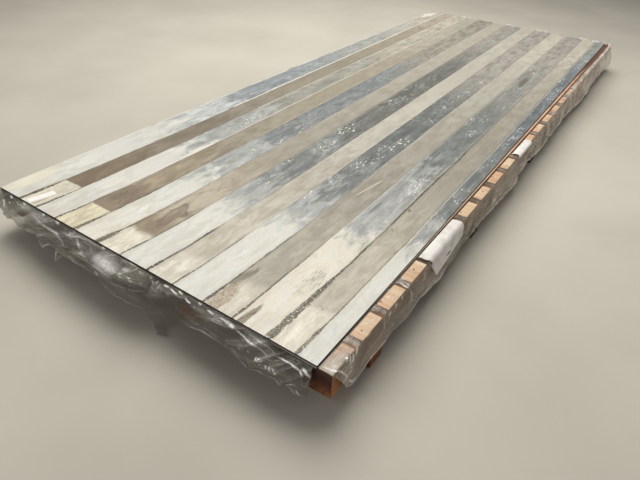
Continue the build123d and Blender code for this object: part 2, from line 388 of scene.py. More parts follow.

# Marks: stains, scrapes and streaks of the print, and one painted shadow beside the label, each an ellipse
# with a broken edge. Specks are cells of 6 mm, flecks are chips of 8 by 14 mm and strokes are thin slanting
# lines 5 mm apart.
breaks = {"specks": node("MapRange", speck_cells, 0.5, 0.6, 0.0, 1.0),
          "flecks": node("MapRange", roughened, 0.32, 0.22, 0.0, 1.0),
          "strokes": node("MapRange", stroke_lines, 0.5, 0.62, 0.0, 1.0)}
broken = node("Math MULTIPLY", node("Math SUBTRACT", mottle, 0.5), 2.2)
for x_mm, y_mm, half_width, half_length, turn, colour, strength, kind in marks:
    spot = node("Mapping", flat, (x_mm / 1000, y_mm / 1000, 0), (0, 0, math.radians(turn)),
                (half_width / 1000, half_length / 1000, 1), vector_type="TEXTURE")
    radius = node("VectorMath LENGTH", node("VectorMath MULTIPLY", spot, (1, 1, 0))).outputs["Value"]
    radius = node("Math ADD", radius, broken)
    mask = node("MapRange", radius, 0.6, 1.05, strength, 0.0, interpolation_type="SMOOTHSTEP")
    if kind == "ring":
        hollow = node("MapRange", radius, 0.5, 0.8, 0.1, 1.0)
        mask = node("Math MULTIPLY", mask, hollow)
    if kind in breaks:
        mask = node("Math MULTIPLY", mask, breaks[kind])
    board_tone = node("MixRGB", mask, board_tone, colour)

# Dark seams between the boards: a thin line that thickens and fades along its length, a strip of crumbled
# paint at the near end, a painted highlight along a ridge of paint beside some, and a hairline all the way.
# A ramp holds no value below 0, so the ridge's place goes through it 10 mm too large.
strength_columns, ridge_column, ridge_raise = (2, 7), 5, 10
seam_at = node("ValToRGB", seam_key, steps=seam_places)
columns = []
for index, column in enumerate(zip(*seams)):
    if index == ridge_column:
        column = [(value + ridge_raise) / 1000 for value in column]
    elif index not in strength_columns:
        column = [value / 1000 for value in column]
    columns.append(node("ValToRGB", seam_key, steps=column))
line_width, line_length, line_strength, strip_width = columns[:4]
strip_length, ridge_shift, ridge_start, ridge_strength = columns[4:]
offset = node("Math SUBTRACT", wandering, seam_at)
gap = node("Math ABSOLUTE", offset)
thick = node("MapRange", swell, 0.34, 0.62, 0.6, 1.25)
thick = node("Math MULTIPLY", thick, line_width)
depth = node("Math DIVIDE", gap, thick)
rough = node("Math SUBTRACT", grit, 0.5)
line = node("MapRange", node("Math MULTIPLY_ADD", rough, 1.2, depth), 0.9, 0.4, 0.0, 1.0)
spent = node("Math DIVIDE", along, line_length)
line_fade = node("MapRange", spent, 0.72, 1.0, 1.0, 0.0)
line = node("Math MULTIPLY", line, node("Math MULTIPLY", line_fade, line_strength))
patchy = node("MapRange", streaks, 0.38, 0.52, 0.4, 1.0)
line = node("Math MULTIPLY", line, patchy)
gap_share = node("Math DIVIDE", gap, node("Math MULTIPLY_ADD", along, 0.45, 0.7))
hairline = node("MapRange", gap_share, 0.0022, 0.0006, 0.0, 0.42)
line = node("Math MAXIMUM", line, hairline)

spent = node("Math DIVIDE", along, strip_length)
strip_fade = node("MapRange", spent, 0.45, 1.0, 1.0, 0.0)
strip_swell = node("MapRange", swell, 0.34, 0.62, 0.72, 1.08)
strip_width = node("Math MULTIPLY", strip_width, strip_swell)
strip_reach = node("Math MAXIMUM", node("Math MULTIPLY", strip_width, strip_fade), 0.00001)
strip_depth = node("Math DIVIDE", gap, strip_reach)
strip_depth = node("Math MULTIPLY_ADD", rough, 1.6, strip_depth)
from_side = node("Math ABSOLUTE", node("Math SUBTRACT", strip_depth, 0.8))
crumbs = node("Math SUBTRACT", smears, node("Math MULTIPLY", from_side, 0.34))
dark_crumbs = node("MapRange", crumbs, 0.36, 0.44, 0.0, 0.95)
inside = node("MapRange", strip_depth, 1.1, 0.8, 0.0, 1.0)
dark_crumbs = node("Math MULTIPLY", dark_crumbs, inside)
pale_crumbs = node("MapRange", speck_cells, 0.42, 0.37, 0.0, 1.0)
pale_crumbs = node("Math MULTIPLY", pale_crumbs, inside)
olive = node("Math MULTIPLY", inside, 0.8)
board_tone = node("MixRGB", olive, board_tone, "#736A50")
halo = node("MapRange", gap, 0.022, 0.004, 0.0, 0.3)
halo = node("Math MULTIPLY", halo, node("Math MULTIPLY", line_fade, line_strength))
halo = node("Math MULTIPLY", halo, node("MapRange", mottle, 0.4, 0.6, 0.0, 1.0))
board_tone = node("MixRGB", halo, board_tone, "#8C8263")
board_tone = node("MixRGB", dark_crumbs, board_tone, "#41382A")
board_tone = node("MixRGB", line, board_tone, seam_colour)
board_tone = node("MixRGB", pale_crumbs, board_tone, crumb_pale)

# Painted highlight along the ridge of paint beside some seams.
ridge_gap = node("Math SUBTRACT", offset, node("Math SUBTRACT", ridge_shift, ridge_raise / 1000))
ridge = node("MapRange", node("Math ABSOLUTE", ridge_gap), 0.0052, 0.0025, 0.0, 1.0)
ridge_on = node("MapRange", node("Math SUBTRACT", along, ridge_start), 0.0, 0.02)
ridge = node("Math MULTIPLY", ridge, node("Math MULTIPLY", ridge_on, ridge_strength))
ridge = node("Math MULTIPLY", ridge, node("MapRange", streaks, 0.3, 0.5, 0.35, 1.0))
board_tone = node("MixRGB", ridge, board_tone, "#E4DFD0")
rim = node("MapRange", across, 0.009, 0.004, 0.0, 0.75)
rim = node("Math MULTIPLY", rim, node("MapRange", streaks, 0.4, 0.5, 0.2, 1.0))
board_tone = node("MixRGB", rim, board_tone, "#DEDCD2")

# Edge of the sheet, seen only on its sides, and the plain grey primer of its back.
facing = node("SeparateXYZ", node("NewGeometry").outputs["Normal"])
is_top = node("Math GREATER_THAN", facing.outputs["Z"], 0.5)
is_side = node("Math LESS_THAN", node("Math ABSOLUTE", facing.outputs["Z"]), 0.5)
middle = node("Math SUBTRACT", node("SeparateXYZ", place).outputs["Z"], panel_upper - half_thickness)
is_skin = node("Math GREATER_THAN", node("Math ABSOLUTE", middle), half_thickness - skin)
edge_tone = node("MixRGB", is_skin, "#0F0E0D", "#8F8F8E")
back_tone = node("MixRGB", is_side, "#8E8F8C", edge_tone)
whole = node("MixRGB", is_top, back_tone, board_tone)
metal_share = node("Math MULTIPLY", is_skin, is_side)
gloss = node("MapRange", mottle, 0.3, 0.7, 0.46, 0.62)
relief = node("Bump", sockets={"Height": shade, "Strength": 0.12, "Distance": 0.001})
surface = node("BsdfPrincipled", whole,
               sockets={"Roughness": gloss, "Metallic": metal_share, "Normal": relief})
node("OutputMaterial", surface)
coat(cad["panel_top"], decor)

# Lower panel, the same sheet in a copper brown coating. It lies a little turned, so a thin wedge of it shows
# on the right, with the same black core at its edge. The coating is satin and bright along the middle,
# painted darker towards the near end as painted shade, and a darker brown towards the far end. Dark strips of
# painted shade lie along both its rims and along the middle of the wedge near the far end.
copper, copper_dull = "#D9B092", "#B48B6E"
copper_near, copper_far = "#B8967B", "#8A5A45"
painted_shade_brown = "#1E1814"
# The lower sheet's right rim lies this far outside the upper one's at the middle of the load,
# and so much further out with each metre.
rim_middle, rim_slope = 0.0155, 0.00716

copper_coat, node = new_finish("coil_coated_copper_brown")
place = node("TexCoord").outputs["Object"]
cloud = node("TexNoise", place, sockets={"Scale": 14.0, "Detail": 4.0})
face_tone = node("ValToRGB", cloud.outputs["Fac"], stops=[(0.35, copper_dull), (0.62, copper)])
along_sheet = node("SeparateXYZ", place).outputs["Y"]
# Painted shade: the face is darker towards the near end. Towards the far end it is a darker brown.
near_painted_shade = node("MapRange", along_sheet, -1.5, -0.5, 0.95, 0.0, interpolation_type="SMOOTHSTEP")
far_darker = node("MapRange", along_sheet, 0.9, 1.35, 0.0, 0.95, interpolation_type="SMOOTHSTEP")
face_tone = node("MixRGB", near_painted_shade, face_tone, copper_near)
face_tone = node("MixRGB", far_darker, face_tone, copper_far)
beside = node("Math SUBTRACT", node("SeparateXYZ", place).outputs["X"], panel_right)
rim_place = node("Math MULTIPLY_ADD", along_sheet, rim_slope, rim_middle)
from_rim = node("Math SUBTRACT", rim_place, beside)
# Painted shadow of the upper sheet's edge and painted shade in the gap along this sheet's rim: dark strips
# that widen towards the far end.
shade_reach = node("MapRange", along_sheet, -1.0, 2.0, 1.0, 2.8)
for layer, clean, dirty in ((beside, 0.0030, 0.0016), (from_rim, 0.0024, 0.0010)):
    layer = node("Math DIVIDE", layer, shade_reach)
    painted_shade = node("MapRange", layer, clean, dirty, 0.0, 0.92)
    face_tone = node("MixRGB", painted_shade, face_tone, painted_shade_brown)
# Painted shade: a dark line along the middle of the wedge near the far end.
from_wedge_middle = node("Math SUBTRACT", node("Math MULTIPLY", rim_place, 0.45), beside)
from_wedge_middle = node("Math ABSOLUTE", from_wedge_middle)
middle_shade_line = node("MapRange", from_wedge_middle, 0.0050, 0.0030, 0.0, 0.8)
middle_shade_line = node("Math MULTIPLY", middle_shade_line, far_darker)
face_tone = node("MixRGB", middle_shade_line, face_tone, painted_shade_brown)
facing = node("SeparateXYZ", node("NewGeometry").outputs["Normal"])
is_face = node("Math GREATER_THAN", facing.outputs["Z"], 0.5)
middle = node("Math SUBTRACT", node("SeparateXYZ", place).outputs["Z"], panel_upper - 3 * half_thickness)
is_skin = node("Math GREATER_THAN", node("Math ABSOLUTE", middle), half_thickness - skin)
edge_tone = node("MixRGB", is_skin, "#12110F", "#9C8B80")
whole = node("MixRGB", is_face, edge_tone, face_tone)
surface = node("BsdfPrincipled", whole, sockets={"Roughness": 0.38})
node("OutputMaterial", surface)
coat(cad["panel_lower"], copper_coat)

# Deck slats, rough sawn pine boards nailed across the stringers, matt and a little fibrous. The grain runs
# along each board, with a darker band every few centimetres, and each board has its own tone. Their ends and
# edges are painted darker than their tops, and the right part of the first board's front face is painted
# dark, both as painted shade. A painted shadow lies along the first board's front under the sheets, and
# painted shade lies on the tops beside the lower sheet's rim.
pine_pale, pine, pine_dark = "#F0DEC2", "#E2C5A2", "#C9A584"
slat_painted_shade = "#1E1712"

sawn_pine, node = new_finish("rough_sawn_pine")
place = node("TexCoord").outputs["Object"]
bands = node("TexNoise", node("Mapping", place, None, None, (2.2, 60, 60)),
             sockets={"Scale": 1.0, "Detail": 5.0, "Roughness": 0.6, "Distortion": 0.6})
band_tone = node("ValToRGB", bands.outputs["Fac"],
                 stops=[(0.3, pine_dark), (0.45, pine), (0.66, pine_pale)])
each = node("TexNoise", node("Mapping", place, None, None, (0.2, 5.4, 0.1)),
            sockets={"Scale": 1.0, "Detail": 0.0})
each_share = node("MapRange", each.outputs["Fac"], 0.4, 0.65, 0.0, 0.55)
tone = node("MixRGB", each_share, band_tone, "#E9BCA6", blend_type="MULTIPLY")
facing = node("SeparateXYZ", node("NewGeometry").outputs["Normal"])
# Painted shade: the sides are darker than the tops.
is_side = node("MapRange", facing.outputs["Z"], 0.75, 0.3, 0.0, 0.75)
tone = node("MixRGB", is_side, tone, "#8C6048")
spot = node("SeparateXYZ", place)
# Painted shade on the right part of the first board's front face.
at_right = node("MapRange", spot.outputs["X"], 0.60, 0.70, 0.0, 0.9)
at_front = node("Math LESS_THAN", spot.outputs["Y"], -2.0235)
front_painted_shade = node("Math MULTIPLY", at_right, at_front)
tone = node("MixRGB", front_painted_shade, tone, "#35120D")
# Painted shadow: the front edge of the first board, under the sheets, is dark.
under_sheet = node("Math LESS_THAN", spot.outputs["X"], panel_right)
painted_shade = node("MapRange", spot.outputs["Y"], -2.014, -2.018, 0.0, 0.92)
tone = node("MixRGB", node("Math MULTIPLY", under_sheet, painted_shade), tone, slat_painted_shade)
# Painted shade: a dark strip on the tops beside the lower sheet's rim.
rim_place = node("Math MULTIPLY_ADD", spot.outputs["Y"], rim_slope, panel_right + rim_middle)
beside = node("Math SUBTRACT", spot.outputs["X"], rim_place)
beside = node("MapRange", beside, 0.0058, 0.0036, 0.0, 0.9)
is_top = node("Math GREATER_THAN", facing.outputs["Z"], 0.5)
tone = node("MixRGB", node("Math MULTIPLY", beside, is_top), tone, slat_painted_shade)
fibres = node("TexNoise", node("Mapping", place, None, None, (12, 420, 420)),
              sockets={"Scale": 1.0, "Detail": 2.0})
relief = node("Bump", sockets={"Height": fibres.outputs["Fac"], "Strength": 0.35, "Distance": 0.002})
surface = node("BsdfPrincipled", tone, sockets={"Roughness": 0.72, "Normal": relief})
node("OutputMaterial", surface)
for name, part in cad.items():
    if name.startswith("deck_slat"):
        coat(part, sawn_pine)

# Stringers and bearers, sawn softwood timbers stained red brown, matt, and darker on the sawn ends, which
# soak up more of the stain. The ends are darker still towards the top, below the deck, as painted shade; the
# stringers' outer faces are painted a lighter orange towards the near end, as painted light; and the bearers
# beyond the first are painted almost black, as painted shade under the load. The grain runs along each
# timber.
stain, stain_pale, stain_dark, end_stain_and_shade = "#8A5034", "#B2764A", "#5E3020", "#3C150E"

for kind, grain_scale in (("stringer", (70, 2.4, 70)), ("bearer", (2.4, 70, 70))):
    timber, node = new_finish("stained_timber_" + kind)
    place = node("TexCoord").outputs["Object"]
    bands = node("TexNoise", node("Mapping", place, None, None, grain_scale),
                 sockets={"Scale": 1.0, "Detail": 5.0, "Roughness": 0.62, "Distortion": 0.5})
    band_tone = node("ValToRGB", bands.outputs["Fac"],
                     stops=[(0.32, stain_dark), (0.5, stain), (0.68, stain_pale)])
    facing = node("SeparateXYZ", node("NewGeometry").outputs["Normal"])
    end_way = facing.outputs["Y" if kind == "stringer" else "X"]
    is_end = node("Math GREATER_THAN", node("Math ABSOLUTE", end_way), 0.7)
    # The sawn ends are darker, and more so towards the top, below the deck, as painted shade.
    height = node("Math MULTIPLY_ADD", bands.outputs["Fac"], 0.06, node("SeparateXYZ", place).outputs["Z"])
    soaked_and_shaded = node("MapRange", height, 0.140, 0.180, 0.2, 0.95)
    soaked_and_shaded = node("Math MULTIPLY", is_end, soaked_and_shaded)
    tone = node("MixRGB", soaked_and_shaded, band_tone, end_stain_and_shade)
    along_load = node("SeparateXYZ", place).outputs["Y"]
    # Painted light: the stringers' outer faces are a lighter orange towards the near end.
    outer = node("MapRange", facing.outputs["X"], 0.6, 0.9, 0.0, 0.5 if kind == "stringer" else 0.0)
    near_end_lit = node("MapRange", along_load, -1.93, -1.7, 1.0, 0.25)
    tone = node("MixRGB", node("Math MULTIPLY", outer, near_end_lit), tone, "#B0703C")
    # Painted shade: the bearers beyond the first are almost black, the shade under the load.
    under_load_shade = node("MapRange", along_load, -1.5, -1.1, 0.0, 0.85 if kind == "bearer" else 0.0)
    tone = node("MixRGB", under_load_shade, tone, "#1F1511")
    relief = node("Bump", sockets={"Height": bands.outputs["Fac"], "Strength": 0.3, "Distance": 0.002})
    surface = node("BsdfPrincipled", tone, sockets={"Roughness": 0.7, "Normal": relief})
    node("OutputMaterial", surface)
    for name, part in cad.items():
        if name.startswith(kind):
            coat(part, timber)

# Nails, steel wire nails with 7 mm heads, driven through the slats into the outer stringer
# where the deck shows beside the sheets. They have a thin dull brown coat of rust. Their row
# starts beside the upper sheet and keeps clear of the lower one, and of the slats' ends.
nail_head, nail_proud = 0.0035, 0.0006
row_start, row_slope = 0.014, 0.0072
least_to_end = 0.008
deck_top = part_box("deck_slat_01")[1].z
nail_offsets = ((-0.003, -0.007), (0.012, -0.025), (-0.004, -0.040), (0.008, 0.007))

rusty_steel, node = new_finish("rusty_nail_steel")
place = node("TexCoord").outputs["Object"]
spots = node("TexNoise", place, sockets={"Scale": 600.0, "Detail": 2.0})
tone = node("ValToRGB", spots.outputs["Fac"], stops=[(0.4, "#3A2A20"), (0.65, "#6B6460")])
surface = node("BsdfPrincipled", tone, sockets={"Roughness": 0.6, "Metallic": 0.6})
node("OutputMaterial", surface)

bm = bmesh.new()
slat_names = sorted(name for name in cad if name.startswith("deck_slat"))
for number, name in enumerate(slat_names):
    low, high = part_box(name)
    shift_x, shift_y = nail_offsets[number % len(nail_offsets)]
    row_x = panel_right + row_start + row_slope * (low.y - panel_near)
    nail_x = min(row_x + shift_x, high.x - least_to_end)
    made = bmesh.ops.create_cone(bm, cap_ends=True, segments=12, radius1=nail_head,
                                 radius2=nail_head * 0.8, depth=2 * nail_proud)
    bmesh.ops.translate(bm, verts=made["verts"],
                        vec=(nail_x, (low.y + high.y) / 2 + shift_y, deck_top + nail_proud * 0.5))
nails = new_piece("deck_nails", bm, rusty_steel)
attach(nails, "root")

# Wrap, clear polyethylene film about 0.15 mm thick that was stretched round the whole load and has been cut
# open. What is left hangs from the deck's edge on all four sides in long slanting folds, clear where it is
# smooth and white where it is creased sharply or doubled. Painted glints lie along some of its creases.
deck_left, deck_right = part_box("deck_slat_01")[0].x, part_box("deck_slat_01")[1].x
deck_near, deck_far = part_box("stringer_1")[0].y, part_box("stringer_1")[1].y
sheet_drop = 0.15
# How far the film stays off the timber and the floor, the length and width of its folds and
# dents, how far a crease stands up, and from what sharpness on a fold turns white, and how fast.
film_off, floor_off = 0.0012, 0.004
large_fold, small_fold, dent = (0.36, 0.062), (0.11, 0.026), (0.070, 0.040)
crease_height, white_from, white_rate = 0.003, 0.96, 6.0


def crumple(run, drop, seed):
    """How far loose film stands off its smooth shape at a place on the sheet, 0 to 1, and how
    sharp the fold's ridge is there."""
    bend = 0.03 * noise.noise(Vector((run * 3, drop * 6, seed)))
    slant = 0.35 + 0.55 * noise.noise(Vector((run * 1.7, 3.1, seed)))
    course = run * math.cos(slant) - drop * math.sin(slant)
    cross = run * math.sin(slant) + drop * math.cos(slant) + bend
    large = 1 - 2.2 * abs(noise.noise(Vector((course / large_fold[0], cross / large_fold[1], seed))))
    small = 1 - 2.2 * abs(noise.noise(Vector((course / small_fold[0], cross / small_fold[1], seed + 5))))
    dents = noise.voronoi(Vector((run / dent[0], drop / dent[1], seed)))[0][0]
    return 0.74 * large + 0.11 * small + 0.11 * (1 - dents), max(large, small - 0.02)


def listed_crease(creases, run, drop):
    """The strength of the strongest crease in a list at a place on the sheet, 0 to 1. A crease
    fades towards its ends and is broken up a little along its length."""
    strongest = 0.0
    for width, strength, points in creases:
        for index, ((run_0, drop_0), (run_1, drop_1)) in enumerate(zip(points, points[1:])):
            start = Vector((run_0 / 1000, drop_0 / 100 * sheet_drop))
            way = Vector((run_1 / 1000, drop_1 / 100 * sheet_drop)) - start
            reach = width / 1000
            if not min(0, way.x) - reach < run - start.x < max(0, way.x) + reach:
                continue
            here = Vector((run, drop)) - start
            share = max(0.0, min(1.0, here.dot(way) / way.length_squared))
            end_fade = 1.1 - abs(2 * (index + share) / (len(points) - 1) - 1) ** 3
            grain = 0.85 + 0.6 * noise.noise(Vector((run * 130, drop * 130, width)))
            nearness = 1 - (here - way * share).length / reach
            strongest = max(strongest, strength * end_fade * grain * nearness)
    return strongest


def hang_film(name, shape, steps, depth, seed, clear_of, creases=(), fold_contrast=1.0):
    """A sheet of film. shape gives each point of an even grid its place, its place on the sheet, its haze and
    how loose it is there. The sheet is then crumpled by up to depth where it is loose, with painted light and
    shade on its folds: by fold_contrast it is hazier and paler on their crests, clearer and darker in their
    hollows, and whiter along their sharp ridges. It is raised along its listed creases and kept clear of what
    it hangs on."""
    bm = bmesh.new()
    bmesh.ops.create_grid(bm, x_segments=steps[0], y_segments=steps[1], size=0.5)
    haze_layer = bm.verts.layers.float.new("haze")
    crease_layer = bm.verts.layers.float.new("crease")
    sheet_layer = bm.verts.layers.float_vector.new("sheet")
    looseness = {}
    for vertex in bm.verts:
        spot, place, vertex[haze_layer], looseness[vertex] = shape(vertex.co.x + 0.5, 0.5 - vertex.co.y)
        vertex[sheet_layer] = Vector((place[0], place[1] * sheet_drop, seed))
        vertex.co = spot
    bm.normal_update()
    outward = {vertex: vertex.normal.copy() for vertex in bm.verts}
    for vertex in bm.verts:
        run, drop, _ = vertex[sheet_layer]
        stand, ridge = crumple(run, drop, seed)
        listed = listed_crease(creases, run, drop)
        folded = white_rate * (ridge - white_from) * looseness[vertex] * fold_contrast
        vertex[crease_layer] = max(listed, folded)
        # Painted light and shade: crests hazier and paler, hollows clearer and darker.
        vertex[haze_layer] *= 1 + fold_contrast * looseness[vertex] * (stand - 0.42)
        raised = crease_height * listed * (0.2 + 0.8 * looseness[vertex])
        vertex.co += outward[vertex] * (depth * looseness[vertex] * (stand - 0.4) + raised)
        vertex.co = clear_of(vertex.co)
    for face in bm.faces:
        face.smooth = True
    return new_piece(name, bm, clear_film)


def between(points, at):
    """The values at a place on a line of points, each a place and then its values, going evenly
    from one point to the next."""
    if at <= points[0][0]:
        return points[0][1:]
    for before, after in zip(points, points[1:]):
        if at <= after[0]:
            share = (at - before[0]) / (after[0] - before[0])
            return [a + (b - a) * share for a, b in zip(before[1:], after[1:])]
    return points[-1][1:]


film_haze, film_haze_right, film_haze_far, film_white = "#77746B", "#938779", "#CBBDB2", "#FDFCFA"
right_seed = 21.0

clear_film, node = new_finish("crinkled_clear_polyethylene")
haze = node("Attribute", attribute_name="haze").outputs["Fac"]
crease = node("Attribute", attribute_name="crease").outputs["Fac"]
sheet = node("Attribute", attribute_name="sheet").outputs["Vector"]
wrinkles = node("TexNoise", node("Mapping", sheet, None, (0, 0, 0.45), (9, 42, 1)),
                sockets={"Scale": 1.0, "Detail": 3.0, "Roughness": 0.55, "Distortion": 0.9}).outputs["Fac"]
clouds = node("TexNoise", node("Mapping", sheet, None, (0, 0, 0.3), (7, 16, 1)),
              sockets={"Scale": 1.0, "Detail": 3.0}).outputs["Fac"]
ridge = node("Math ABSOLUTE", node("Math SUBTRACT", wrinkles, 0.5))
hairline = node("MapRange", ridge, 0.012, 0.003, 0.0, 1.0)
hairline = node("Math MULTIPLY", hairline, node("MapRange", clouds, 0.48, 0.62, 0.0, 0.5))
hairline = node("Math MULTIPLY", hairline, node("MapRange", haze, 0.55, 0.75))
fine = node("TexNoise", node("Mapping", sheet, (3, 1, 0), (0, 0, 0.7), (22, 120, 1)),
            sockets={"Scale": 1.0, "Detail": 4.0, "Roughness": 0.6, "Distortion": 0.7}).outputs["Fac"]
fine_tone = node("MapRange", fine, 0.36, 0.64, 0.9, 1.12)
# White: stress-whitened creases and hairlines, with painted glints, from the listed creases and the sharpest
# fold ridges.
white = node("Math MAXIMUM", crease, 0.0)
white = node("Math ADD", white, hairline, use_clamp=True)
cover = node("MapRange", clouds, 0.35, 0.65, 0.88, 1.12)
cover = node("Math MULTIPLY", cover, haze)
cover = node("Math MULTIPLY", cover, fine_tone)
cover = node("Math MULTIPLY_ADD", white, 0.75, cover, use_clamp=True)
spread = node("SeparateXYZ", sheet)
is_right = node("Math COMPARE", spread.outputs["Z"], right_seed, 0.5)
far_along = node("MapRange", spread.outputs["X"], 1.3, 3.8, 0.0, 1.0)
tone = node("MixRGB", far_along, film_haze_right, film_haze_far)
tone = node("MixRGB", is_right, film_haze, tone)
tone = node("MixRGB", 1.0, tone, fine_tone, blend_type="MULTIPLY")
# Painted light and shade: the film is lighter and darker in patches about 140 by 60 mm, as crumpled facets
# catch the light.
facet_light_and_shade = node("MapRange", clouds, 0.36, 0.64, 0.82, 1.28)
tone = node("MixRGB", 1.0, tone, facet_light_and_shade, blend_type="MULTIPLY")
pale = node("Math MULTIPLY", white, 1.7, use_clamp=True)
tone = node("MixRGB", pale, tone, film_white)
unevenness = node("MapRange", haze, 0.45, 0.75, 0.03, 0.25)
relief = node("Bump", sockets={"Height": ridge, "Strength": unevenness, "Distance": 0.02})
surface = node("BsdfPrincipled", tone, sockets={"Roughness": 0.18, "Alpha": cover, "Normal": relief})
node("OutputMaterial", surface)

# Front wrap, cut off short of the right corner. It puffs out by a few centimetres and its hem is
# torn and wavy. Each point: the place across, how far the hem stands off the timber, and the
# hem's height above the floor.
front_start, front_end = deck_left - 0.012, 0.716
front_hem = [
    (-0.790, 0.014, 0.066), (-0.734, 0.014, 0.065), (-0.684, 0.018, 0.055), (-0.604, 0.020, 0.070),
    (-0.547, 0.024, 0.066), (-0.505, 0.032, 0.062), (-0.469, 0.030, 0.073), (-0.430, 0.032, 0.087),
    (-0.352, 0.034, 0.088), (-0.266, 0.040, 0.095), (-0.220, 0.046, 0.084), (-0.190, 0.046, 0.090),
    (-0.139, 0.054, 0.077), (-0.056, 0.058, 0.069), (0.022, 0.058, 0.074), (0.095, 0.046, 0.078),
    (0.122, 0.040, 0.080), (0.132, 0.034, 0.088), (0.187, 0.030, 0.092), (0.229, 0.028, 0.086),
    (0.316, 0.024, 0.100), (0.398, 0.022, 0.097), (0.441, 0.026, 0.080), (0.517, 0.032, 0.070),
    (0.554, 0.030, 0.081), (0.628, 0.030, 0.079), (0.690, 0.028, 0.078), (0.714, 0.020, 0.081),
]
# Torn points of the hem: the place across, the half width, and how far each hangs down and out.
hem_points = [(-0.506, 0.030, 0.016, 0.004), (-0.380, 0.026, 0.030, 0.030), (-0.640, 0.020, 0.008, 0.0)]
# The haze at places across, at the top edge, in the middle and at the hem.
front_haze = [
    (-0.79, 0.62, 0.76, 0.66), (-0.74, 0.66, 0.86, 0.66), (-0.66, 0.74, 0.84, 0.66),
    (-0.55, 0.74, 0.72, 0.64), (-0.45, 0.78, 0.70, 0.62), (-0.33, 0.78, 0.68, 0.60),
    (-0.22, 0.70, 0.62, 0.44), (-0.12, 0.80, 0.60, 0.32), (-0.04, 0.60, 0.34, 0.24),
    (0.05, 0.66, 0.34, 0.20), (0.10, 0.62, 0.34, 0.18), (0.15, 0.60, 0.28, 0.13),
    (0.20, 0.60, 0.20, 0.10), (0.25, 0.64, 0.42, 0.26), (0.30, 0.70, 0.56, 0.58),
    (0.35, 0.70, 0.60, 0.62), (0.45, 0.76, 0.60, 0.64), (0.55, 0.78, 0.62, 0.66),
    (0.65, 0.72, 0.64, 0.68), (0.72, 0.76, 0.72, 0.72),
]
# Each sharp crease: its width in mm, how white it is, and its points, each as mm across and hundredths of the
# way from the sheet's top edge to its hem. The short, strong ones are painted glints.
front_creases = [
    (6, 0.32, [(-683, 7), (-603, 14), (-521, 19), (-457, 25), (-378, 25), (-332, 35), (-299, 54)]),
    (9, 1.5, [(-735, 20), (-736, 32), (-749, 49)]), (6, 0.3, [(-671, 89), (-583, 95), (-489, 60)]),
    (5, 0.3, [(-367, 16), (-310, 16), (-276, 7), (-230, 4), (-171, 5), (-122, 6)]),
    (4, 0.35, [(-210, 13), (-173, 27)]), (4, 0.35, [(-286, 13), (-241, 28)]),
    (16, 0.15, [(-104, 20), (-51, 21)]), (18, 0.35, [(-142, 8), (-103, 7), (-70, 11)]),
    (30, 0.2, [(-640, 6), (-560, 10), (-480, 14)]), (26, 0.2, [(470, 8), (530, 12), (590, 20)]),
    (7, 0.9, [(40, 8), (56, 10)]), (14, 0.3, [(-30, 8), (10, 7)]), (6, 0.7, [(73, 7), (89, 7)]),
    (4, 0.3, [(83, 8), (100, 14), (107, 29)]), (4, 0.5, [(118, 5), (108, 14)]),
    (4, 0.3, [(128, 7), (128, 24), (120, 35)]), (4, 0.3, [(160, 28), (153, 42)]),
    (36, 0.22, [(98, 34), (150, 36)]), (4, 0.25, [(116, 36), (130, 47), (150, 44)]),
    (4, 0.2, [(96, 42), (112, 56), (132, 62)]), (4, 0.25, [(104, 22), (118, 30), (138, 30)]),
    (4, 0.25, [(136, 14), (146, 24), (143, 36)]), (4, 0.2, [(88, 30), (92, 44), (104, 52)]),
    (6, 0.8, [(-706, 3), (-690, 6)]), (6, 0.8, [(-622, 3), (-600, 5)]), (5, 0.8, [(-505, 4), (-486, 3)]),
    (6, 0.7, [(-420, 2), (-396, 5)]), (6, 0.8, [(-166, 2), (-142, 4)]), (5, 0.8, [(-44, 4), (-30, 2)]),
    (6, 0.8, [(205, 2), (226, 5)]), (5, 0.8, [(292, 3), (306, 5)]),
    (4, 1.0, [(171, 7), (187, 10), (209, 12)]), (5, 0.9, [(143, 8), (167, 7)]),
    (4, 1.0, [(241, 9), (255, 13), (269, 14)]), (4, 0.9, [(330, 8), (357, 10)]),
    (5, 0.8, [(381, 9), (399, 10), (423, 12)]), (8, 0.8, [(405, 10), (443, 12)]),
    (4, 0.8, [(445, 13), (496, 21), (536, 20)]), (3, 0.6, [(486, 8), (543, 10), (597, 18)]),
    (3, 0.6, [(477, 17), (530, 22), (579, 30)]), (3, 0.6, [(513, 8), (567, 13)]),
    (3.5, 1.0, [(600, 19), (648, 16), (682, 19), (696, 27)]), (3.5, 0.8, [(479, 40), (481, 47)]),
    (4, 0.9, [(505, 38), (512, 41)]), (4, 1.1, [(543, 41), (549, 50)]), (4, 1.3, [(557, 39), (553, 52)]),
    (4, 1.1, [(558, 46), (570, 43)]), (4, 0.9, [(584, 47), (588, 55)]), (4, 1.3, [(600, 43), (598, 56)]),
    (4, 1.1, [(609, 42), (613, 52)]), (4, 0.9, [(620, 49), (617, 58)]),
    (6, 0.9, [(685, 14), (698, 15), (716, 24)]), (4, 0.4, [(-780, 98), (-690, 97), (-600, 98)]),
    (6, 0.5, [(-540, 97), (-440, 98)]), (9, 0.4, [(-396, 86), (-382, 100)]),
    (4, 0.4, [(-372, 98), (-270, 97), (-150, 98)]), (4, 0.4, [(-140, 98), (-20, 98), (112, 98)]),
    (4, 0.4, [(230, 98), (330, 98), (430, 97)]), (4, 0.4, [(440, 98), (560, 97), (712, 97)]),
    (4, 0.5, [(637, 97), (682, 64)]), (4, 0.7, [(677, 84), (692, 95)]),
]


